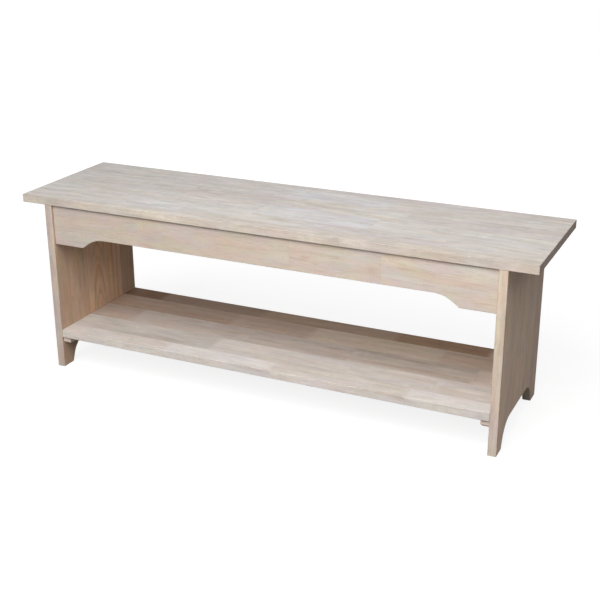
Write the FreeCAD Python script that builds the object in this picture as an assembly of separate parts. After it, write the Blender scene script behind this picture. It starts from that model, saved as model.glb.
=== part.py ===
import FreeCAD, Part
import os
from math import asin, cos, radians, sin, tan

# Low bench with an open shelf: a seat board on two end panels, an arched apron under each long
# edge of the seat, and a shelf near the floor that rests on cleats. Every board is glued up from
# staves, and a stave is a row of blocks joined end to end by small fingers.
# Millimetres. The origin is on the floor under the middle of the seat, +X runs along the seat,
# -Y faces the front and +Z is up.

# Seat board
seat_length = 1219.2
seat_depth = 330.0
seat_height = 428.0
seat_thickness = 19.0
seat_edge_radius = 1.2

# End panels, and how far the seat reaches past them
end_thickness = 19.0
end_overhang = 60.0
front_overhang = 1.0
rear_overhang = 5.0
end_edge_radius = 1.0

# Arch that leaves a foot at each lower corner of an end panel
foot_width = 36.5
arch_angle = 68.0
arch_sweep_share = 0.62
arch_below_cleat = 7.8

# Aprons, with their lower edge raised between two shoulders
apron_thickness = 19.0
apron_setback = 5.0
apron_height = 95.2
apron_shoulder = 77.5
apron_rise = 24.5
apron_angle = 37.5
apron_sweep_share = 0.61
apron_nose_radius = 4.5
apron_edge_radius = 1.2

# Shelf
shelf_height = 96.5
shelf_thickness = 19.0
shelf_inset = 0.4
shelf_edge_radius = 1.2

# Cleats, all cut from one section
cleat_width = 19.5
cleat_height = 16.0
cleat_chamfer = 4.0
shelf_cleat_setback = 4.5
shelf_cleat_end_chamfer = 5.0

# Finger joints between the blocks of a stave
finger_length = 6.0
finger_shoulder = 1.5
finger_count = 4

# Glue lines between staves, as shares of each board's depth from the front
seat_line_shares = (0.091, 0.237, 0.479, 0.697, 0.915)
shelf_line_shares = (0.138, 0.366, 0.608, 0.836)
end_line_shares = (0.148, 0.370, 0.611, 0.815)
apron_line_shares = ()

# Finger joints in each stave, front stave first, as shares of its length from the left or the floor
seat_joint_shares = (
    (0.386, 0.656),
    (0.210, 0.328, 0.574, 0.828),
    (0.115, 0.289, 0.459, 0.685),
    (0.282, 0.505, 0.722),
    (0.234, 0.443, 0.673),
    (0.205, 0.459, 0.742),
)
shelf_joint_shares = (
    (0.267, 0.525, 0.822),
    (0.355, 0.676, 0.864),
    (0.108, 0.406, 0.650, 0.927),
    (0.328, 0.527, 0.833),
    (0.047, 0.106, 0.377, 0.709, 0.927),
)
left_end_joint_shares = ((), (0.36,), (), (0.70,), ())
right_end_joint_shares = ((0.55,), (), (0.33,), (), ())
front_apron_joint_shares = ((0.215, 0.572, 0.768),)
rear_apron_joint_shares = ((0.31, 0.63),)

# Dowels between an apron's ends and the end panels
dowel_radius = 4.0
dowel_length = 30.0
dowel_chamfer = 1.0
dowel_fit = 0.05
dowel_edge_distance = 22.0
dowel_end_share = 0.58
dowel_spare_depth = 1.0

# Screws. The bite is the share of the board's thickness that the point reaches into it
screw_shank_radius = 2.0
screw_core_radius = 1.4
screw_point_length = 4.0
screw_smooth_share = 0.9
screw_recess_length = 4.4
screw_recess_width = 0.9
screw_recess_depth = 1.6
flat_head_radius = 4.0
flat_head_rim = 0.4
pan_head_radius = 4.2
pan_head_rim = 0.8
pan_head_height = 2.6
side_bite_share = 0.68
upward_bite_share = 0.74

# Screw holes. A slot lets a board that swells across its grain slide on its screw
screw_clearance = 0.2
pilot_fit = 0.05
pilot_spare_depth = 1.0
slot_travel = 4.0

# Screw places along each kind of cleat, as shares of the cleat's length
shelf_cleat_side_shares = (0.10, 0.44, 0.90)
shelf_cleat_upward_shares = (0.20, 0.57, 0.80)
end_cleat_side_shares = (0.14, 0.86)
end_cleat_upward_shares = (0.27, 0.73)
apron_cleat_side_shares = (0.04, 0.27, 0.50, 0.73, 0.96)
apron_cleat_upward_shares = (0.09, 0.32, 0.55, 0.78, 0.91)

# How far a cutting shape reaches past the wood that it cuts
overrun = 5.0

# Places that several pieces share
seat_under = seat_height - seat_thickness
shelf_under = shelf_height - shelf_thickness
outer_x = seat_length / 2 - end_overhang
inner_x = outer_x - end_thickness
front_y = -seat_depth / 2 + front_overhang
rear_y = seat_depth / 2 - rear_overhang
arch_height = shelf_under - cleat_height - arch_below_cleat
front_apron_y = front_y + apron_setback
rear_apron_y = rear_y - apron_setback - apron_thickness
front_cleat_y = front_apron_y + apron_thickness
rear_cleat_y = rear_apron_y

across = FreeCAD.Vector(1, 0, 0)
back = FreeCAD.Vector(0, 1, 0)
up = FreeCAD.Vector(0, 0, 1)


# Outlines. An outline is a list of stops, and a stop is one corner or the three points of an
# arc. Straight lines join each stop to the next.

def outline_face(stops, place):
    edges = []
    for stop, following in zip(stops, stops[1:] + stops[:1]):
        if len(stop) == 3:
            edges.append(Part.Arc(*[place(*point) for point in stop]).toShape())
        edges.append(Part.LineSegment(place(*stop[-1]), place(*following[0])).toShape())
    return Part.Face(Part.Wire(edges))


def corners(*points):
    return [(point,) for point in points]


def mirrored(stops):
    return [tuple((-u, v) for u, v in reversed(stop)) for stop in reversed(stops)]


def level_arc(start, end):
    """Arc that rises from start and runs out level at end."""
    run = end[0] - start[0]
    rise = end[1] - start[1]
    radius = (run * run + rise * rise) / (2 * rise)
    half_turn = asin(run / radius) / 2
    middle = (end[0] - radius * sin(half_turn), end[1] - radius * (1 - cos(half_turn)))
    return start, middle, end


def climb(corner, rise, angle, sweep_share):
    """The sweep that follows a straight ramp up from a corner and ends level."""
    turn = radians(angle)
    sweep_rise = rise * sweep_share
    ramp_rise = rise - sweep_rise
    ramp_top = (corner[0] + ramp_rise / tan(turn), corner[1] + ramp_rise)
    crown = (ramp_top[0] + sweep_rise / tan(turn / 2), corner[1] + rise)
    return level_arc(ramp_top, crown)


def nose(corner, angle, radius):
    """Round over the corner where a level edge turns up into a ramp."""
    turn = radians(angle)
    reach = radius * tan(turn / 2)
    start = (corner[0] - reach, corner[1])
    middle = (start[0] + radius * sin(turn / 2), start[1] + radius * (1 - cos(turn / 2)))
    end = (corner[0] + reach * cos(turn), corner[1] + reach * sin(turn))
    return start, middle, end


def box(low, high):
    size = high - low
    return Part.makeBox(size.x, size.y, size.z, low)


def turned(stops):
    """Solid turned about the Z axis from a half section."""
    section = outline_face(stops, lambda r, z: FreeCAD.Vector(r, 0, z))
    return section.revolve(FreeCAD.Vector(), up, 360)


def aimed(shape, point, direction):
    """Copy of a shape that points down from the origin, set at a point and facing a direction."""
    moved = shape.copy()
    moved.Placement = FreeCAD.Placement(point, FreeCAD.Rotation(-up, direction))
    return moved


# Boards, each shaped whole as it is after its glue-up

def seat_board():
    board = box(FreeCAD.Vector(-seat_length / 2, -seat_depth / 2, seat_under),
                FreeCAD.Vector(seat_length / 2, seat_depth / 2, seat_height))
    return board.makeFillet(seat_edge_radius, board.Edges)


def shelf_board():
    board = box(FreeCAD.Vector(-inner_x, front_y + shelf_inset, shelf_under),
                FreeCAD.Vector(inner_x, rear_y - shelf_inset, shelf_height))
    long_edges = [edge for edge in board.Edges if edge.BoundBox.XLength > shelf_thickness]
    return board.makeFillet(shelf_edge_radius, long_edges)


def end_panel(near_x):
    """End panel whose face with the lower X lies at near_x."""
    middle_y = (front_y + rear_y) / 2
    half_depth = (rear_y - front_y) / 2
    foot_corner = (foot_width - half_depth, 0)
    half = corners((-half_depth, seat_under), (-half_depth, 0), foot_corner)
    half.append(climb(foot_corner, arch_height, arch_angle, arch_sweep_share))
    face = outline_face(half + mirrored(half), lambda u, z: FreeCAD.Vector(near_x, middle_y + u, z))
    panel = face.extrude(across * end_thickness)
    arrises = [edge for edge in panel.Edges
               if edge.BoundBox.XLength < end_edge_radius and edge.BoundBox.ZMin < seat_height / 2]
    return panel.makeFillet(end_edge_radius, arrises)


def apron(near_y):
    """Apron whose front face lies at near_y."""
    low = seat_under - apron_height
    shoulder = (apron_shoulder - inner_x, low)
    half = corners((-inner_x, seat_under), (-inner_x, low))
    half.append(nose(shoulder, apron_angle, apron_nose_radius))
    half.append(climb(shoulder, apron_rise, apron_angle, apron_sweep_share))
    face = outline_face(half + mirrored(half), lambda x, z: FreeCAD.Vector(x, near_y, z))
    board = face.extrude(back * apron_thickness)
    highest = low + apron_rise + apron_edge_radius
    arrises = [edge for edge in board.Edges
               if edge.BoundBox.YLength < apron_edge_radius and edge.BoundBox.ZMax < highest]
    return board.makeFillet(apron_edge_radius, arrises)


# Staves and blocks

def plain_line(place, low, high):
    return [(place, low - overrun), (place, high + overrun)]


def finger_line(place, low, high):
    """Line of a finger joint through a board, from below its lower face to above its upper one.
    It is straight on both faces, at place, and the fingers show on the board's edges."""
    pitch = (high - low - 2 * finger_shoulder) / finger_count
    line = [(place, low - overrun), (place, low + finger_shoulder)]
    for finger in range(finger_count):
        root = low + finger_shoulder + finger * pitch
        line += [(place + finger_length, root + pitch / 2), (place, root + pitch)]
    return line + [(place, high + overrun)]


def places(span, shares):
    return [span[0] + share * (span[1] - span[0]) for share in shares]


def staves(board, turn, grain, width, thickness, line_shares, joint_shares):
    """Cut a board into its staves, each a compound of blocks. turn puts a distance along the
    grain, across the staves and through the board into X, Y and Z."""
    edges = [width[0] - overrun] + places(width, line_shares) + [width[1] + overrun]
    rows = []
    for near, far, joints in zip(edges, edges[1:], joint_shares):
        lines = [plain_line(grain[0] - overrun, *thickness)]
        lines += [finger_line(place, *thickness) for place in places(grain, joints)]
        lines += [plain_line(grain[1] + overrun, *thickness)]
        blocks = []
        for start, end in zip(lines, lines[1:]):
            section = outline_face(corners(*start, *reversed(end)), lambda g, t: turn(g, near, t))
            blocks += board.common(section.extrude(turn(0, far - near, 0))).Solids
        rows.append(Part.Compound(blocks))
    return rows


def along_seat(g, w, t):
    return FreeCAD.Vector(g, w, t)


def up_end(g, w, t):
    return FreeCAD.Vector(t, w, g)


def along_apron(g, w, t):
    return FreeCAD.Vector(g, t, w)


# Fasteners, each pointing down from the origin

def cross_recess(top):
    """Cross that is cut into a head from its top."""
    arm = [(screw_recess_length / 2, -screw_recess_width / 2),
           (screw_recess_length / 2, screw_recess_width / 2),
           (screw_recess_width / 2, screw_recess_width / 2)]
    stops = []
    for _ in range(4):
        stops += corners(*arm)
        arm = [(-v, u) for u, v in arm]
    face = outline_face(stops, lambda x, y: FreeCAD.Vector(x, y, top + overrun))
    return face.extrude(-up * (overrun + screw_recess_depth))


def screw(head, smooth, length, top):
    """Screw with a given head section, a smooth shank and a threaded core shown plain."""
    step = screw_shank_radius - screw_core_radius
    body = corners((screw_shank_radius, -smooth), (screw_core_radius, -smooth - step),
                   (screw_core_radius, screw_point_length - length), (0, -length))
    return turned(head + body).cut(cross_recess(top))


def flat_screw(smooth, length):
    cone = flat_head_radius - screw_shank_radius
    head = corners((0, 0), (flat_head_radius, 0), (flat_head_radius, -flat_head_rim),
                   (screw_shank_radius, -flat_head_rim - cone))
    return screw(head, smooth, length, 0)


def pan_screw(smooth, length):
    dome = level_arc((-pan_head_radius, pan_head_rim), (0, pan_head_height))
    head = mirrored([dome]) + corners((pan_head_radius, 0), (screw_shank_radius, 0))
    return screw(head, smooth, length, pan_head_height)


def flat_screw_hole(depth):
    """Clearance hole with a countersink for a flat head."""
    wide = flat_head_radius + screw_clearance
    narrow = screw_shank_radius + screw_clearance
    return turned(corners((0, overrun), (wide, overrun), (wide, -flat_head_rim),
                          (narrow, narrow - wide - flat_head_rim), (narrow, -depth - overrun),
                          (0, -depth - overrun)))


def slot(travel, depth):
    """Clearance hole that leaves a screw free to travel front to back."""
    narrow = screw_shank_radius + screw_clearance
    end = travel / 2
    half = [((-narrow, -end), (0, -end - narrow), (narrow, -end))]
    other = [tuple((-u, -v) for u, v in half[0])]
    face = outline_face(half + other, lambda x, y: FreeCAD.Vector(x, y, overrun))
    return face.extrude(-up * (depth + 2 * overrun))


def round_hole(depth):
    narrow = screw_shank_radius + screw_clearance
    return Part.makeCylinder(narrow, depth + 2 * overrun, up * overrun, -up)


def pilot_hole(point, direction, depth):
    reach = depth + pilot_spare_depth + overrun
    return Part.makeCylinder(screw_core_radius + pilot_fit, reach, point - direction * overrun, direction)


def dowel(start, direction):
    side = corners((0, 0), (dowel_radius - dowel_chamfer, 0), (dowel_radius, -dowel_chamfer),
                   (dowel_radius, dowel_chamfer - dowel_length),
                   (dowel_radius - dowel_chamfer, -dowel_length), (0, -dowel_length))
    return aimed(turned(side), start, direction)


def dowel_hole(start, direction):
    whole = dowel_length + 2 * dowel_spare_depth
    return Part.makeCylinder(dowel_radius + dowel_fit, whole, start - direction * dowel_spare_depth,
                             direction)


class Cleat:
    """Bar screwed sideways to one board, with screws up through it into the board it holds.
    Its corner is where both boards meet, out points away from the board it is screwed to."""

    def __init__(self, corner, along, out, length, fixed_to, holds, side_shares, upward_shares, slots):
        self.corner = corner
        self.along = along
        self.out = out
        self.length = length
        self.fixed_to = fixed_to
        self.holds = holds
        self.side_places = places((0, length), side_shares)
        self.upward_places = places((0, length), upward_shares)
        self.slots = slots
        self.side_bite = side_bite_share * board_thickness[fixed_to]
        self.upward_bite = upward_bite_share * board_thickness[holds]

    def spot(self, run, reach, drop):
        return self.corner + self.along * run + self.out * reach - up * drop

    def blank(self):
        section = corners((0, 0), (cleat_width, 0), (cleat_width, cleat_height - cleat_chamfer),
                          (cleat_width - cleat_chamfer, cleat_height), (0, cleat_height))
        face = outline_face(section, lambda reach, drop: self.spot(0, reach, drop))
        return face.extrude(self.along * self.length)

    def side_heads(self):
        return [self.spot(run, cleat_width, (cleat_height - cleat_chamfer) / 2) for run in self.side_places]

    def upward_heads(self):
        return [self.spot(run, (cleat_width - cleat_chamfer) / 2, cleat_height) for run in self.upward_places]

    def side_screws(self):
        one = flat_screw(cleat_width * screw_smooth_share, cleat_width + self.side_bite)
        return [aimed(one, head, -self.out) for head in self.side_heads()]

    def upward_screws(self):
        one = pan_screw(cleat_height * screw_smooth_share, cleat_height + self.upward_bite)
        return [aimed(one, head, up) for head in self.upward_heads()]

    def holes(self):
        cut = [aimed(flat_screw_hole(cleat_width), head, -self.out) for head in self.side_heads()]
        for head, slotted in zip(self.upward_heads(), self.slots):
            shape = slot(slot_travel, cleat_height) if slotted else round_hole(cleat_height)
            cut.append(aimed(shape, head, up))
        return cut

    def side_pilots(self):
        return [pilot_hole(head - self.out * cleat_width, -self.out, self.side_bite)
                for head in self.side_heads()]

    def upward_pilots(self):
        return [pilot_hole(head + up * cleat_height, up, self.upward_bite) for head in self.upward_heads()]

    def solid(self):
        return self.blank().cut(self.holes())


class ShelfCleat(Cleat):
    """Cleat whose two ends are cut back at the bottom, since they show under the shelf."""

    def blank(self):
        bar = super().blank()
        ends = []
        for run, inward in ((0, 1), (self.length, -1)):
            wedge = corners((run, cleat_height - shelf_cleat_end_chamfer),
                            (run, cleat_height + overrun),
                            (run + inward * (shelf_cleat_end_chamfer + overrun), cleat_height + overrun))
            face = outline_face(wedge, lambda r, drop: self.spot(r, -overrun, drop))
            ends.append(face.extrude(self.out * (cleat_width + 2 * overrun)))
        return bar.cut(ends)


board_thickness = {
    "seat": seat_thickness,
    "shelf": shelf_thickness,
    "left_end": end_thickness,
    "right_end": end_thickness,
    "front_apron": apron_thickness,
    "rear_apron": apron_thickness,
}


def all_cleats():
    """The cleats by name. The front screws fix the seat and the shelf, the others sit in slots."""
    shelf_start = front_y + shelf_cleat_setback
    shelf_length = rear_y - front_y - 2 * shelf_cleat_setback
    end_start = front_cleat_y + cleat_width
    end_length = rear_cleat_y - cleat_width - end_start
    cleats = {}
    for side, x, out in (("left", -inner_x, across), ("right", inner_x, -across)):
        cleats[side + "_shelf_cleat"] = ShelfCleat(
            FreeCAD.Vector(x, shelf_start, shelf_under), back, out, shelf_length,
            side + "_end", "shelf", shelf_cleat_side_shares, shelf_cleat_upward_shares,
            (False, True, True))
        cleats[side + "_seat_cleat"] = Cleat(
            FreeCAD.Vector(x, end_start, seat_under), back, out, end_length,
            side + "_end", "seat", end_cleat_side_shares, end_cleat_upward_shares, (True, True))
    for side, y, out, slotted in (("front", front_cleat_y, back, False), ("rear", rear_cleat_y, -back, True)):
        cleats[side + "_seat_cleat"] = Cleat(
            FreeCAD.Vector(-inner_x, y, seat_under), across, out, 2 * inner_x,
            side + "_apron", "seat", apron_cleat_side_shares, apron_cleat_upward_shares,
            [slotted] * len(apron_cleat_upward_shares))
    return cleats


def dowel_starts():
    """Where each dowel starts inside its end panel, and which way it runs into the apron."""
    starts = {}
    start_x = inner_x + dowel_end_share * end_thickness
    heights = (seat_under - dowel_edge_distance, seat_under - apron_height + dowel_edge_distance)
    for row, y in (("front", front_apron_y), ("rear", rear_apron_y)):
        for side, sign in (("left", -1), ("right", 1)):
            starts[row, side] = [(FreeCAD.Vector(sign * start_x, y + apron_thickness / 2, z), across * -sign)
                                 for z in heights]
    return starts


def write(name, solids):
    Part.Compound(solids).exportStep("parts/" + name + ".step")


def build():
    os.makedirs("parts", exist_ok=True)
    cleats = all_cleats()
    dowels = dowel_starts()

    boards = {
        "seat": seat_board(),
        "shelf": shelf_board(),
        "left_end": end_panel(-outer_x),
        "right_end": end_panel(inner_x),
        "front_apron": apron(front_apron_y),
        "rear_apron": apron(rear_apron_y),
    }
    drilled = {name: [] for name in boards}
    for cleat in cleats.values():
        drilled[cleat.fixed_to] += cleat.side_pilots()
        drilled[cleat.holds] += cleat.upward_pilots()
    for (row, side), starts in dowels.items():
        holes = [dowel_hole(start, direction) for start, direction in starts]
        drilled[row + "_apron"] += holes
        drilled[side + "_end"] += holes
    boards = {name: board.cut(drilled[name]) for name, board in boards.items()}

    end_depth = (front_y, rear_y)
    end_height = (0, seat_under)
    apron_width = (seat_under - apron_height, seat_under)
    apron_length = (-inner_x, inner_x)
    divided = {
        "seat": staves(boards["seat"], along_seat, (-seat_length / 2, seat_length / 2),
                       (-seat_depth / 2, seat_depth / 2), (seat_under, seat_height),
                       seat_line_shares, seat_joint_shares),
        "shelf": staves(boards["shelf"], along_seat, (-inner_x, inner_x),
                        (front_y + shelf_inset, rear_y - shelf_inset), (shelf_under, shelf_height),
                        shelf_line_shares, shelf_joint_shares),
        "left_end": staves(boards["left_end"], up_end, end_height, end_depth, (-outer_x, -inner_x),
                           end_line_shares, left_end_joint_shares),
        "right_end": staves(boards["right_end"], up_end, end_height, end_depth, (inner_x, outer_x),
                            end_line_shares, right_end_joint_shares),
        "front_apron": staves(boards["front_apron"], along_apron, apron_length, apron_width,
                              (front_apron_y, front_apron_y + apron_thickness),
                              apron_line_shares, front_apron_joint_shares),
        "rear_apron": staves(boards["rear_apron"], along_apron, apron_length, apron_width,
                             (rear_apron_y, rear_apron_y + apron_thickness),
                             apron_line_shares, rear_apron_joint_shares),
    }
    for name, rows in divided.items():
        for number, row in enumerate(rows, 1):
            write(name if len(rows) == 1 else f"{name}_stave_{number}", row.Solids)
    for name, cleat in cleats.items():
        write(name, cleat.solid().Solids)
        write(name + "_side_screws", cleat.side_screws())
        write(name + "_upward_screws", cleat.upward_screws())
    for (row, side), starts in dowels.items():
        write(f"{row}_{side}_dowels", [dowel(start, direction) for start, direction in starts])


build()
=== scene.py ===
from math import cos, radians, sin

import bpy
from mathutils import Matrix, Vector


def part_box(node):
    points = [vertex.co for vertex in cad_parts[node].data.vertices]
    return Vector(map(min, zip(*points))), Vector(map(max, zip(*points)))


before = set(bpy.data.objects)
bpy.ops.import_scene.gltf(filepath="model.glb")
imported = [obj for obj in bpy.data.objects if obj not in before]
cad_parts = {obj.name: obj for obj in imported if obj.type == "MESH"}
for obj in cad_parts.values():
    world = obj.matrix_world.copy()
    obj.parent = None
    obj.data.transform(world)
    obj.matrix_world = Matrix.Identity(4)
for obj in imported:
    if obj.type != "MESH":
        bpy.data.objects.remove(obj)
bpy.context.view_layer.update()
bpy.ops.object.select_all(action="DESELECT")


# The seat. Six staves of bare rubberwood are glued edge to edge and sanded flat, and each stave
# is a row of blocks joined end to end by small fingers. The blocks come from different trees, so
# every one has its own tone and its own figure. The tones also hold a painted sheen: they are
# cooler and greyer than the rest of the bench, like the whitish reflection the top shows at a low
# angle, and the frost blocks are paler still for a soft sheen across the middle of the seat.

def srgb(red, green, blue):
    """Shader colour that shows as the given 0 to 255 red, green and blue."""
    levels = [value / 255 for value in (red, green, blue)]
    return [v / 12.92 if v <= 0.04045 else ((v + 0.055) / 1.055) ** 2.4 for v in levels] + [1]


# frost is partly a pale block tone and partly painted sheen, the soft reflection in the middle of the seat
frost_painted_sheen = srgb(199, 198, 199)
pale = srgb(197, 194, 190)
pink = srgb(194, 190, 187)
rose = srgb(191, 186, 184)
linen = srgb(195, 191, 186)
sand = srgb(191, 184, 176)
# painted light: the seat's front and rear faces are warmer than the top, as the light falls there
seat_edge_painted_light = srgb(204, 194, 183)


def node(tree, kind, inputs, **settings):
    """Add a shader node. An input is a plain value or the output of another node."""
    new = tree.nodes.new("ShaderNode" + kind)
    for name, value in settings.items():
        setattr(new, name, value)
    for key, value in inputs.items():
        if isinstance(value, bpy.types.NodeSocket):
            tree.links.new(value, new.inputs[key])
        else:
            new.inputs[key].default_value = value
    return new


def maths(tree, operation, *values):
    return node(tree, "Math", dict(enumerate(values)), operation=operation).outputs[0]


def vector_maths(tree, operation, *values):
    return node(tree, "VectorMath", dict(enumerate(values)), operation=operation).outputs[0]


def spread(tree, value, low, high, to_low, to_high):
    """Carry a value from one range to another with soft ends."""
    inputs = {"Value": value, "From Min": low, "From Max": high, "To Min": to_low, "To Max": to_high}
    return node(tree, "MapRange", inputs, interpolation_type="SMOOTHSTEP").outputs["Result"]


def mixed(tree, factor, first, second, blend="MIX"):
    inputs = {"Factor": factor, 6: first, 7: second}
    return node(tree, "Mix", inputs, data_type="RGBA", blend_type=blend).outputs[2]


def weighted(tree, base, *parts):
    """base, plus each part's value times its weight."""
    total = base
    for value, weight in parts:
        total = maths(tree, "MULTIPLY_ADD", value, weight, total)
    return total


def stretched_noise(tree, place, scales, detail, roughness):
    """Noise with its own scale on each axis, in cells per metre."""
    stretched = vector_maths(tree, "MULTIPLY", place, scales)
    inputs = {"Vector": stretched, "Scale": 1, "Detail": detail, "Roughness": roughness}
    return node(tree, "TexNoise", inputs).outputs["Fac"]


def grain_noise(tree, place, lengthwise, crosswise, detail, roughness=0.55):
    """Noise drawn out along the grain."""
    return stretched_noise(tree, place, (lengthwise, crosswise, crosswise), detail, roughness)


# Rubberwood's own values. Lengths are in metres, and a shade multiplies the wood's colour.
grain_sway = 0.006
pith_scatter = (0.16, 0.05, 0.12)
knot_swell = 0.014
rings_per_metre = 150
ring_jitter = 2.4
yellower = (1.024, 1, 0.93, 1)
bluer = (0.984, 0.99, 1.04, 1)
redder = (1.024, 0.964, 0.996, 1)
greener = (0.986, 1.016, 0.984, 1)
dark_wood = (0.74, 0.63, 0.53, 1)
pore_shade = (0.62, 0.48, 0.36, 1)
knot_shade = (0.60, 0.42, 0.32, 1)
end_grain_shade = (0.77, 0.68, 0.64, 1)
# darkens the glue lines, and the ends that meet a panel with a joint line and painted shade
glue_and_painted_seam_colour = (0.58, 0.47, 0.36, 1)
# darkens the arrises: a patchy painted shade that dims their highlight
arris_painted_shade_colour = (0.80, 0.77, 0.73, 1)


def swayed(tree, place, lengthwise, detail):
    """How far the grain strays to one side or the other, up to grain_sway."""
    noise = grain_noise(tree, place, lengthwise, 16, detail)
    return maths(tree, "MULTIPLY_ADD", noise, 2 * grain_sway, -grain_sway)


def rubberwood_group():
    """Rubberwood seen from any side. Place is in metres along the grain, across the face and
    through the board. Pith is where the rings have their centre: how far aside of the middle, how
    far below it, and how steeply it falls along the grain. Wander lets it differ from block to
    block. Knot, Joint, End grain and Arris are 0 on plain wood and 1 where they are strongest."""
    tree = bpy.data.node_groups.new("rubberwood", "ShaderNodeTree")
    for name, kind in (("Place", "Vector"), ("Block", "Float"), ("Tone", "Color"), ("Pith", "Vector"),
                       ("Wander", "Float"), ("Figure", "Float"), ("Mottle", "Float"),
                       ("Tint", "Float"), ("Knot", "Float"), ("Joint", "Float"),
                       ("End grain", "Float"), ("Arris", "Float")):
        tree.interface.new_socket(name, in_out="INPUT", socket_type="NodeSocket" + kind)
    for name, kind in (("Color", "Color"), ("Roughness", "Float"), ("Height", "Float")):
        tree.interface.new_socket(name, in_out="OUTPUT", socket_type="NodeSocket" + kind)
    given = tree.nodes.new("NodeGroupInput").outputs

    # each block is cut from another place in the noise, so its figure is its own
    chance = node(tree, "TexWhiteNoise", {"W": given["Block"]}, noise_dimensions="1D").outputs["Color"]
    place = vector_maths(tree, "MULTIPLY_ADD", chance, (3, 3, 3), given["Place"])
    drift = node(tree, "CombineXYZ", {"Y": swayed(tree, place, 11, 1)}).outputs[0]
    place = vector_maths(tree, "ADD", place, drift)

    # growth rings round a pith line that lies beside and under the block, and leans along it
    scatter = vector_maths(tree, "SUBTRACT", chance, (0.5, 0.5, 0.5))
    reach = vector_maths(tree, "MULTIPLY", pith_scatter, given["Wander"])
    pith = vector_maths(tree, "MULTIPLY_ADD", scatter, reach, given["Pith"])
    centre = node(tree, "SeparateXYZ", {0: pith}).outputs
    spot = node(tree, "SeparateXYZ", {0: given["Place"]}).outputs
    aside = maths(tree, "SUBTRACT", spot["Y"], centre["X"])
    aside = maths(tree, "ADD", aside, swayed(tree, place, 4, 2))
    rise = maths(tree, "MULTIPLY_ADD", spot["X"], centre["Z"], spot["Z"])
    depth = maths(tree, "ADD", rise, centre["Y"])
    flat = node(tree, "CombineXYZ", {"X": aside, "Y": depth}).outputs[0]
    radius = node(tree, "VectorMath", {0: flat}, operation="LENGTH").outputs["Value"]
    radius = maths(tree, "MULTIPLY_ADD", given["Knot"], knot_swell, radius)
    ring_place = node(tree, "CombineXYZ", {"X": radius, "Y": spot["X"], "Z": given["Block"]}).outputs[0]
    rings = stretched_noise(tree, ring_place, (130, 1.6, 3.7), 3, 0.5)
    jitter = maths(tree, "MULTIPLY", rings, ring_jitter)
    age = maths(tree, "MULTIPLY_ADD", radius, rings_per_metre, jitter)
    late_wood = maths(tree, "POWER", maths(tree, "FRACT", age), 3)

    # streaks and flecks along the grain, soft clouds of tone, and the finest fibre
    streaks = grain_noise(tree, place, 7, 75, 4, 0.6)
    flecks = grain_noise(tree, place, 38, 480, 2)
    patches = grain_noise(tree, place, 15, 75, 2)
    warmth = grain_noise(tree, place, 9, 34, 2)
    blush = grain_noise(tree, vector_maths(tree, "ADD", place, (5, 5, 5)), 14, 50, 2)
    clouds = grain_noise(tree, place, 5, 22, 2)
    fibre = grain_noise(tree, place, 110, 2600, 1)
    curl = grain_noise(tree, place, 75, 22, 1)

    # pores, cut lengthwise into short dark dashes
    pore_place = vector_maths(tree, "MULTIPLY", place, (150, 1250, 1250))
    cells = node(tree, "TexVoronoi", {"Vector": pore_place, "Scale": 1}).outputs
    kept = node(tree, "SeparateColor", {0: cells["Color"]}).outputs[0]
    inside = spread(tree, cells["Distance"], 0.16, 0.34, 1, 0)
    pores = maths(tree, "MULTIPLY", inside, maths(tree, "GREATER_THAN", kept, 0.62))

    # colour: the block's tone, darker and browner in rings, streaks and flecks
    ring_tone = maths(tree, "MULTIPLY_ADD", late_wood, 0.4, spread(tree, rings, 0.42, 0.72, 0, 0.8))
    ring_tone = maths(tree, "MULTIPLY", ring_tone, given["Figure"])
    streak_tone = spread(tree, streaks, 0.50, 0.78, 0, 0.42)
    fleck_tone = spread(tree, flecks, 0.47, 0.76, 0, 0.42)
    colour = given["Tone"]
    for amount in (ring_tone, streak_tone, fleck_tone):
        colour = mixed(tree, amount, colour, dark_wood, "MULTIPLY")
    for noise, first, second in ((warmth, yellower, bluer), (blush, redder, greener)):
        tint = mixed(tree, spread(tree, noise, 0.35, 0.65, 0, 1), first, second)
        colour = mixed(tree, given["Tint"], colour, tint, "MULTIPLY")

    # light: curl, patches and clouds make it uneven, and fibre and pale streaks brighten it
    mottled = 0.0
    curliness = spread(tree, blush, 0.4, 0.7, 0.02, 0.2)
    for noise, strength in ((curl, curliness), (patches, 0.38), (clouds, 0.20)):
        mottled = weighted(tree, mottled, (maths(tree, "SUBTRACT", noise, 0.5), strength))
    pale_streaks = spread(tree, streaks, 0.2, 0.5, 1, 0)
    light = weighted(tree, 0.965, (fibre, 0.07), (mottled, given["Mottle"]), (pale_streaks, 0.06))
    colour = node(tree, "VectorMath", {0: colour, "Scale": light}, operation="SCALE").outputs[0]

    # then what is darker than the wood itself, and painted shade: in Joint at the ends that meet a panel,
    # and patchy on the arrises, where it dims their highlight
    pore_tone = maths(tree, "MULTIPLY", pores, 0.45)
    knot_tone = maths(tree, "MULTIPLY", given["Knot"], spread(tree, streaks, 0.35, 0.65, 0.5, 1))
    arris_painted_shade = maths(tree, "MULTIPLY", given["Arris"], spread(tree, patches, 0.35, 0.65, 0.35, 0.75))
    for amount, shade in ((pore_tone, pore_shade), (knot_tone, knot_shade),
                          (given["End grain"], end_grain_shade), (given["Joint"], glue_and_painted_seam_colour),
                          (arris_painted_shade, arris_painted_shade_colour)):
        colour = mixed(tree, amount, colour, shade, "MULTIPLY")

    rough = weighted(tree, 0.62, (flecks, 0.16), (pores, 0.12), (given["End grain"], 0.12),
                     (given["Arris"], -0.10))
    height = weighted(tree, 0.0, (flecks, 0.4), (fibre, 0.5), (pores, -0.9), (given["Joint"], -0.5))
    result = tree.nodes.new("NodeGroupOutput").inputs
    for name, value in (("Color", colour), ("Roughness", rough), ("Height", height)):
        tree.links.new(value, result[name])
    return tree


rubberwood = rubberwood_group()

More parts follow.
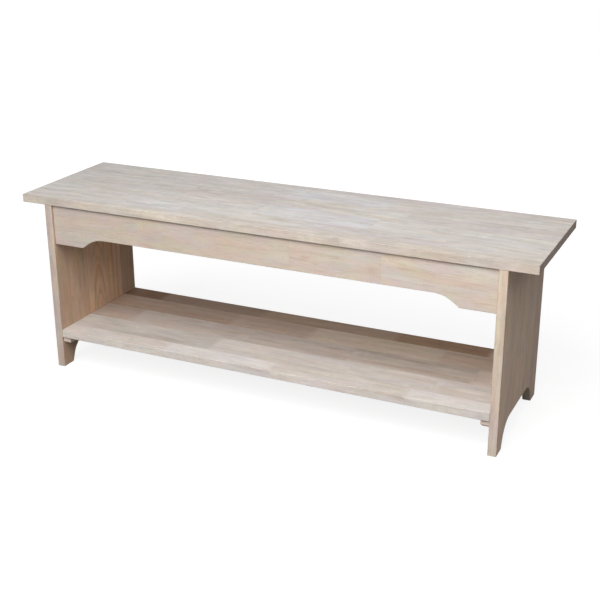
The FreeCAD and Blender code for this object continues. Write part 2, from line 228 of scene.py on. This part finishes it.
# A joint has four fingers, with a line of glue that reaches glue_reach to each side of it. A seam
# is the darkened end of a board that meets a panel: a joint line and painted shade where the
# panel shades it. Most piths lie 45 mm under the board's middle.
finger_length = 0.006
finger_shoulder = 0.0015
finger_count = 4
glue_reach = 0.00022
glue_darkness = 0.28
painted_seam_reach = 0.0013
far_pith = (0, 0.045, 0)


def finger_advance(tree, along, through, thickness):
    """Distance along the grain, less what the fingers of a joint reach at this depth."""
    pitch = (thickness - 2 * finger_shoulder) / finger_count
    depth = maths(tree, "ADD", through, thickness / 2 - finger_shoulder)
    turns = maths(tree, "MAXIMUM", maths(tree, "DIVIDE", depth, pitch), 0)
    turns = maths(tree, "MINIMUM", turns, finger_count)
    reach = maths(tree, "PINGPONG", turns, 0.5)
    return maths(tree, "MULTIPLY_ADD", reach, -2 * finger_length, along)


def row_of_blocks(tree, advance, length, tones, joint_shares, seed, fade):
    """The tone and the number of the block at each place, and 1 in the glue between blocks."""
    tone = tones[0]
    block = seed
    glue = 0.0
    for share, next_tone in zip(joint_shares, tones[1:]):
        start = (share - 0.5) * length
        past = maths(tree, "GREATER_THAN", advance, start)
        block = maths(tree, "ADD", past, block)
        blend = spread(tree, advance, start - fade, start + fade, 0, 1)
        tone = mixed(tree, blend, tone, next_tone)
        glue = maths(tree, "ADD", maths(tree, "COMPARE", advance, start, glue_reach), glue)
    return tone, block, glue


def knot_shape(tree, along, across, spot, size):
    """1 in the heart of a knot or a pin of dark grain, and 0 from its rim outwards."""
    ahead = maths(tree, "DIVIDE", maths(tree, "SUBTRACT", along, spot[0]), size[0])
    aside = maths(tree, "DIVIDE", maths(tree, "SUBTRACT", across, spot[1]), size[1])
    square = maths(tree, "MULTIPLY_ADD", ahead, ahead, maths(tree, "MULTIPLY", aside, aside))
    inside = maths(tree, "MAXIMUM", maths(tree, "SUBTRACT", 1, square), 0)
    return maths(tree, "MULTIPLY", inside, inside)


def new_material(name):
    material = bpy.data.materials.new(name)
    material.use_nodes = True
    return material, material.node_tree


def dress(piece, material):
    """Give a piece this one material."""
    piece.data.materials.clear()
    piece.data.materials.append(material)


def wood(name, axes, tones, joint_shares=(), *, seed, glued=(False, False), painted_seam_shade=(0, 0),
         pith=far_pith, wander=1, figure=0.3, mottle=1, tint=0.5, fade=0.002, knots=(),
         edge_painted_light=None, end_grain=1):
    """Give a CAD piece its rubberwood. axes is the order in which X, Y and Z run along the grain,
    across it and through the board, and seed is the number of its first block. glued tells which of
    its long sides are glued, and painted_seam_shade how dark each end is where it meets a panel: a
    joint line and painted shade. figure is how strong its rings are, mottle and tint are how far its
    light and its hue vary, and fade is how far to each side of a joint the blocks' tones run together.
    A knot is its share of the length and of the width, its length and width, and how dark it is.
    edge_painted_light is a painted tone for the narrow long faces, for the light that falls on them,
    and end_grain how much darker the cut ends are."""
    low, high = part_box(name)
    size = high - low
    length, width, thickness = [size[axis] for axis in axes]
    material, tree = new_material(name + "_wood")
    from_object = node(tree, "TexCoord", {}).outputs
    middle = vector_maths(tree, "SUBTRACT", from_object["Object"], (low + high) / 2)
    parts = node(tree, "SeparateXYZ", {0: middle}).outputs
    along, across, through = [parts[axis] for axis in axes]
    place = node(tree, "CombineXYZ", {"X": along, "Y": across, "Z": through}).outputs[0]

    advance = finger_advance(tree, along, through, thickness) if joint_shares else along
    tone, block, glue = row_of_blocks(tree, advance, length, tones, joint_shares, seed, fade)
    for side, is_glued in zip((-1, 1), glued):
        if is_glued:
            at_side = maths(tree, "COMPARE", across, side * width / 2, glue_reach)
            glue = maths(tree, "ADD", at_side, glue)
    glue_and_painted_seams = maths(tree, "MULTIPLY", glue, glue_darkness)
    # darken each end that meets a panel: a joint line and painted shade
    for side, strength in zip((-1, 1), painted_seam_shade):
        if strength:
            painted_seam_at_end = maths(tree, "COMPARE", along, side * length / 2, painted_seam_reach)
            glue_and_painted_seams = weighted(tree, glue_and_painted_seams, (painted_seam_at_end, strength))

    dark = 0.0
    for share, aside, knot_length, knot_width, strength in knots:
        spot = ((share - 0.5) * length, (aside - 0.5) * width)
        shape = knot_shape(tree, along, across, spot, (knot_length / 2, knot_width / 2))
        dark = weighted(tree, dark, (shape, strength))

    # how squarely the surface faces each way. On an arris, halfway between the face and a side, the
    # product is 1/4, and four times that is 1
    normal = node(tree, "SeparateXYZ", {0: from_object["Normal"]}).outputs
    end_on, edge_on, face_on = [maths(tree, "MULTIPLY", normal[axis], normal[axis]) for axis in axes]
    turned = maths(tree, "MULTIPLY", maths(tree, "SUBTRACT", 1, face_on), face_on)
    arris = maths(tree, "MULTIPLY", turned, 4)
    # the narrow long faces get their own tone: painted light, as the light falls on those faces
    if edge_painted_light:
        tone = mixed(tree, edge_on, tone, edge_painted_light)
    grown = node(tree, "Group", {
        "Place": place, "Block": block, "Tone": tone, "Pith": pith, "Wander": wander, "Figure": figure,
        "Mottle": mottle, "Tint": tint, "Knot": dark, "Joint": glue_and_painted_seams,
        "End grain": maths(tree, "MULTIPLY", end_on, end_grain), "Arris": arris,
    }, node_tree=rubberwood).outputs
    shader = tree.nodes["Principled BSDF"]
    tree.links.new(grown["Color"], shader.inputs["Base Color"])
    tree.links.new(grown["Roughness"], shader.inputs["Roughness"])
    bump = node(tree, "Bump", {"Height": grown["Height"], "Strength": 0.3, "Distance": 0.0002})
    tree.links.new(bump.outputs[0], shader.inputs["Normal"])
    shader.inputs["Specular IOR Level"].default_value = 0.2
    dress(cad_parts[name], material)


# Each row below is a stave, from the front: its joints as shares of its length, the tones of its
# blocks, how strong its rings are, and its knots.
along_seat = (0, 1, 2)
seat = (
    ((0.386, 0.656), (linen, sand, sand), 0.25, ()),
    ((0.210, 0.328, 0.574, 0.828), (pale, frost_painted_sheen, pale, rose, pale), 0.25,
     ((0.494, 0.06, 0.095, 0.006, 0.35), (0.525, 0.65, 0.08, 0.03, 0.14), (0.63, 0.85, 0.14, 0.005, 0.3),
      (0.76, 0.60, 0.16, 0.005, 0.3))),
    ((0.115, 0.289, 0.459, 0.685), (pale, pink, pale, frost_painted_sheen, pale), 0.25,
     ((0.318, 0.90, 0.05, 0.008, 0.6), (0.336, 0.86, 0.05, 0.007, 0.7), (0.82, 0.70, 0.05, 0.006, 0.25),
      (0.88, 0.45, 0.06, 0.006, 0.25), (0.94, 0.30, 0.05, 0.006, 0.25), (0.97, 0.65, 0.04, 0.006, 0.2))),
    ((0.282, 0.505, 0.722), (pink, rose, pale, rose), 0.35,
     ((0.286, 0.80, 0.010, 0.010, 1.0), (0.306, 0.62, 0.06, 0.007, 0.6), (0.394, 0.56, 0.24, 0.012, 0.35),
      (0.340, 0.35, 0.11, 0.014, 0.3), (0.555, 0.44, 0.05, 0.045, 0.15), (0.890, 0.65, 0.27, 0.009, 0.3),
      (0.910, 0.24, 0.22, 0.009, 0.3))),
    ((0.234, 0.443, 0.673), (pink, pink, frost_painted_sheen, linen), 0.25,
     ((0.500, 0.76, 0.03, 0.005, 0.35), (0.525, 0.53, 0.03, 0.005, 0.35), (0.537, 0.28, 0.03, 0.005, 0.3),
      (0.513, 0.11, 0.03, 0.005, 0.3), (0.890, 0.42, 0.05, 0.02, 0.2))),
    ((0.205, 0.459, 0.742), (pale, pink, rose, rose), 0.25, ()),
)
# fade runs the tones together over 50 mm to each side of a joint, so the painted sheen has soft ends
for number, (joint_shares, tones, figure, knots) in enumerate(seat, 1):
    wood(f"seat_stave_{number}", along_seat, tones, joint_shares, seed=10 * number,
         glued=(number > 1, number < len(seat)), figure=figure, mottle=1.25, fade=0.05,
         knots=knots, edge_painted_light=seat_edge_painted_light if number in (1, len(seat)) else None)


# The shelf. Five staves made like the seat's, with browner blocks at the rear and dark streaks in
# the middle; the rear's brown is partly the wood's own and partly painted shade under the seat. It
# fits between the end panels, rests on the two cleats and is screwed from below.

milk = srgb(215, 211, 208)
bone = srgb(206, 199, 193)
ash = srgb(191, 184, 178)
oat = srgb(191, 179, 170)
shell = srgb(206, 191, 182)
dove = srgb(179, 162, 151)
taupe = srgb(177, 154, 137)
fawn = srgb(188, 166, 150)
straw = srgb(208, 191, 173)
beige = srgb(200, 179, 161)
brown = srgb(133, 103, 80)
umber = srgb(123, 93, 66)
russet = srgb(156, 131, 113)
cocoa = srgb(175, 151, 130)
chestnut = srgb(163, 132, 105)
cream = srgb(228, 211, 197)
# painted light: the shelf's front face, lighter where the light falls on it
shelf_edge_painted_light = srgb(219, 212, 206)
shelf = (
    ((0.267, 0.525, 0.822), (bone, milk, bone, milk), 0.25, ()),
    ((0.355, 0.676, 0.864), (ash, bone, bone, bone), 0.25, ((0.229, 0.16, 0.25, 0.028, 0.35),)),
    ((0.108, 0.406, 0.650, 0.927), (dove, oat, oat, oat, shell), 0.4,
     ((0.790, 0.82, 0.34, 0.026, 0.45), (0.790, 0.22, 0.33, 0.030, 0.5), (0.450, 0.38, 0.10, 0.007, 0.35),
      (0.530, 0.53, 0.10, 0.007, 0.35), (0.610, 0.69, 0.10, 0.007, 0.4))),
    # the two rear staves are darker partly from painted shade, deepening towards the rear under the seat
    ((0.328, 0.527, 0.833), (taupe, fawn, straw, beige), 0.3, ()),
    ((0.047, 0.106, 0.377, 0.709, 0.927), (brown, umber, russet, cocoa, chestnut, cream), 0.3,
     ((0.076, 0.35, 0.07, 0.012, 0.5), (0.070, 0.70, 0.06, 0.010, 0.4), (0.880, 0.40, 0.12, 0.030, 0.25))),
)
# the staves' ends are darkened where they meet the panels: a joint line and painted shade
for number, (joint_shares, tones, figure, knots) in enumerate(shelf, 1):
    wood(f"shelf_stave_{number}", along_seat, tones, joint_shares, seed=100 + 10 * number,
         glued=(number > 1, number < len(shelf)), painted_seam_shade=(0.6, 0.6), figure=figure, fade=0.012,
         knots=knots, edge_painted_light=shelf_edge_painted_light if number == 1 else None)


# The end panels. Each is glued up from five upright staves, so the grain runs from the seat down
# to the feet, and the arch between the feet is cut after the glue-up.

# These tones are warmer and browner than the seat's: partly the wood's own tone and partly painted light,
# the warmer light on the panels' shaded faces.
caramel = srgb(205, 178, 154)
tan = srgb(213, 186, 160)
honey = srgb(230, 199, 170)
biscuit = srgb(219, 197, 176)
clay = srgb(204, 182, 167)
wheat = srgb(211, 190, 172)
# painted light on the panels' front and rear faces, lighter or darker as the light falls there
left_edge_painted_light = srgb(200, 186, 176)
right_edge_painted_light = srgb(218, 204, 188)
up_end = (2, 1, 0)
arched_pith = (0.007, 0.022, 0.16)
near_pith = (0, 0.022, 0.05)

# Each row is a stave, from the front: joints, tones, rings, pith line, wander and knots.
left_end = (
    ((), (caramel,), 0.3, far_pith, 1, ()),
    ((0.36,), (tan, tan), 0.4, far_pith, 1, ()),
    ((), (honey,), 0.9, arched_pith, 0, ()),
    ((0.70,), (honey, honey), 0.4, far_pith, 1,
     ((0.50, 0.17, 0.45, 0.012, 0.5), (0.50, 0.46, 0.45, 0.013, 0.5), (0.50, 0.73, 0.45, 0.013, 0.5))),
    ((), (caramel,), 0.3, far_pith, 1, ()),
)
right_end = (
    ((0.55,), (biscuit, biscuit), 0.3, far_pith, 1, ()),
    ((), (wheat,), 0.3, far_pith, 1, ()),
    ((0.33,), (wheat, wheat), 0.3, far_pith, 1,
     ((0.94, 0.28, 0.15, 0.010, 0.5), (0.90, 0.55, 0.12, 0.007, 0.4))),
    ((), (wheat,), 0.4, near_pith, 1, ((0.93, 0.15, 0.14, 0.008, 0.45),)),
    ((), (clay,), 0.3, far_pith, 1, ()),
)
for side, staves, edge_painted_light, first_seed in (("left", left_end, left_edge_painted_light, 200),
                                       ("right", right_end, right_edge_painted_light, 300)):
    for number, (joint_shares, tones, figure, pith, wander, knots) in enumerate(staves, 1):
        wood(f"{side}_end_stave_{number}", up_end, tones, joint_shares, seed=first_seed + 10 * number,
             glued=(number > 1, number < len(staves)), pith=pith, wander=wander, figure=figure,
             tint=1, knots=knots, edge_painted_light=edge_painted_light)


# The aprons. Each is one finger-jointed board with its lower edge shaped, held to the end panels
# by two dowels at each end.

along_apron = (0, 2, 1)
oatmeal = srgb(200, 190, 180)
almond = srgb(203, 191, 179)
ivory = srgb(206, 196, 186)
eggshell = srgb(212, 201, 189)
apron_tones = (oatmeal, almond, ivory, eggshell)
# The ends of both aprons are darkened where they meet the panels: a joint line and painted shade, stronger
# at the front apron's left end.
wood("front_apron", along_apron, apron_tones, (0.215, 0.572, 0.768), seed=400, painted_seam_shade=(1, 0.5),
     mottle=0.5, tint=1, knots=((0.606, 0.60, 0.04, 0.02, 0.35), (0.748, 0.56, 0.04, 0.014, 0.5)))
wood("rear_apron", along_apron, apron_tones[:3], (0.31, 0.63), seed=410, painted_seam_shade=(1, 1),
     mottle=0.5, tint=1)


# The cleats. Six bars of planed rubberwood, all cut from one section with a bevelled lower edge.
# Each is screwed sideways to an end panel or an apron, and holds the seat or the shelf by screws
# that run up through it.

birch = srgb(228, 214, 203)
along_depth = (1, 0, 2)
cleats = (("left_shelf", along_depth), ("right_shelf", along_depth), ("left_seat", along_depth),
          ("right_seat", along_depth), ("front_seat", along_seat), ("rear_seat", along_seat))
for number, (position, axes) in enumerate(cleats):
    wood(position + "_cleat", axes, (birch,), seed=500 + 10 * number, end_grain=0.1)


# The dowels. Turned beech pins, eight millimetres thick with bevelled ends, glued into blind
# holes, two in each joint between an apron and an end panel.

for number, row in enumerate(("front", "rear")):
    for side in ("left", "right"):
        wood(f"{row}_{side}_dowels", along_seat, (tan,), seed=600 + 10 * number)


# The screws. Cross-head steel screws with a bright zinc plate: flat heads sunk into the cleats'
# sides, and pan heads under the cleats.

bright = srgb(196, 198, 199)
yellowish = srgb(214, 210, 199)
zinc, tree = new_material("zinc_plate")
place = node(tree, "TexCoord", {}).outputs["Object"]
haze = node(tree, "TexNoise", {"Vector": place, "Scale": 700, "Detail": 3}).outputs["Fac"]
plate = tree.nodes["Principled BSDF"]
plate.inputs["Metallic"].default_value = 1
tree.links.new(mixed(tree, haze, bright, yellowish), plate.inputs["Base Color"])
tree.links.new(spread(tree, haze, 0.3, 0.7, 0.22, 0.42), plate.inputs["Roughness"])
for name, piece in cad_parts.items():
    if name.endswith("_screws"):
        dress(piece, zinc)


# The studio: a plain floor, a large soft lamp in front, a weaker one at the right and two faint
# ones behind, and the camera at the photograph's angle. To the camera the floor and the world look
# white, with a soft shadow under the bench.

def seen_directly(tree):
    """1 for the camera's own rays and for those that come off gloss or through glass."""
    ray = node(tree, "LightPath", {}).outputs
    gloss = maths(tree, "MAXIMUM", ray["Is Glossy Ray"], ray["Is Transmission Ray"])
    return maths(tree, "MAXIMUM", ray["Is Camera Ray"], gloss)


floor_width = 40
floor_grey = (0.2, 0.2, 0.2, 1)
near_radius = 0.7
near_glow = 0.86
far_radius = 1.8
far_glow = 1
bpy.ops.mesh.primitive_plane_add(size=floor_width)
floor = bpy.context.object
floor.name = "floor"
floor_paint, tree = new_material("floor_paint")
paint = tree.nodes["Principled BSDF"]
paint.inputs["Base Color"].default_value = floor_grey
paint.inputs["Specular IOR Level"].default_value = 0
place = node(tree, "TexCoord", {}).outputs["Object"]
from_middle = node(tree, "VectorMath", {0: place}, operation="LENGTH").outputs["Value"]
white = node(tree, "MapRange", {"Value": from_middle, "From Min": near_radius, "From Max": far_radius,
                                "To Min": near_glow, "To Max": far_glow}).outputs[0]
strength = maths(tree, "MULTIPLY", seen_directly(tree), white)
glow = node(tree, "Emission", {"Strength": strength}).outputs[0]
lit = node(tree, "AddShader", {0: paint.outputs[0], 1: glow}).outputs[0]
underneath = node(tree, "NewGeometry", {}).outputs["Backfacing"]
clear = node(tree, "BsdfTransparent", {}).outputs[0]
one_sided = node(tree, "MixShader", {0: underneath, 1: lit, 2: clear}).outputs[0]
tree.links.new(one_sided, tree.nodes["Material Output"].inputs["Surface"])
dress(floor, floor_paint)

world_light = 0.08
world_white = 1
world = bpy.data.worlds.new("studio")
bpy.context.scene.world = world
world.use_nodes = True
tree = world.node_tree
strength = node(tree, "MapRange", {"Value": seen_directly(tree), "To Min": world_light,
                                   "To Max": world_white}).outputs[0]
sky = tree.nodes["Background"]
sky.inputs["Color"].default_value = (1, 1, 1, 1)
tree.links.new(strength, sky.inputs["Strength"])

# A lamp's two angles are in degrees, from the front towards the right and from the floor upwards,
# and its power is in watts.
lamp_distance = 2.6
lamp_size = 1.8
aim = Vector((0, 0, 0.25))
lamps = (("key", 2, 44, 80), ("right_fill", 68, 50, 20),
         ("back", 180, 60, 4), ("back_fill", 200, 5, 12))
for name, azimuth, elevation, power in lamps:
    turn, lift = radians(azimuth), radians(elevation)
    away = Vector((sin(turn) * cos(lift), -cos(turn) * cos(lift), sin(lift)))
    bpy.ops.object.light_add(type="AREA", location=aim + away * lamp_distance)
    lamp = bpy.context.object
    lamp.name = name
    lamp.data.shape = "SQUARE"
    lamp.data.size = lamp_size
    lamp.data.energy = power
    lamp.rotation_euler = away.to_track_quat("Z", "Y").to_euler()

camera_place = (1.0415, -2.1719, 1.1399)
camera_degrees = (68.72, 0.18, 24.95)
bpy.ops.object.camera_add(location=camera_place)
camera = bpy.context.object
camera.rotation_euler = [radians(angle) for angle in camera_degrees]
camera.data.lens = 66.91
camera.data.sensor_width = 36
bpy.context.scene.camera = camera
bpy.context.scene.view_settings.view_transform = "Standard"
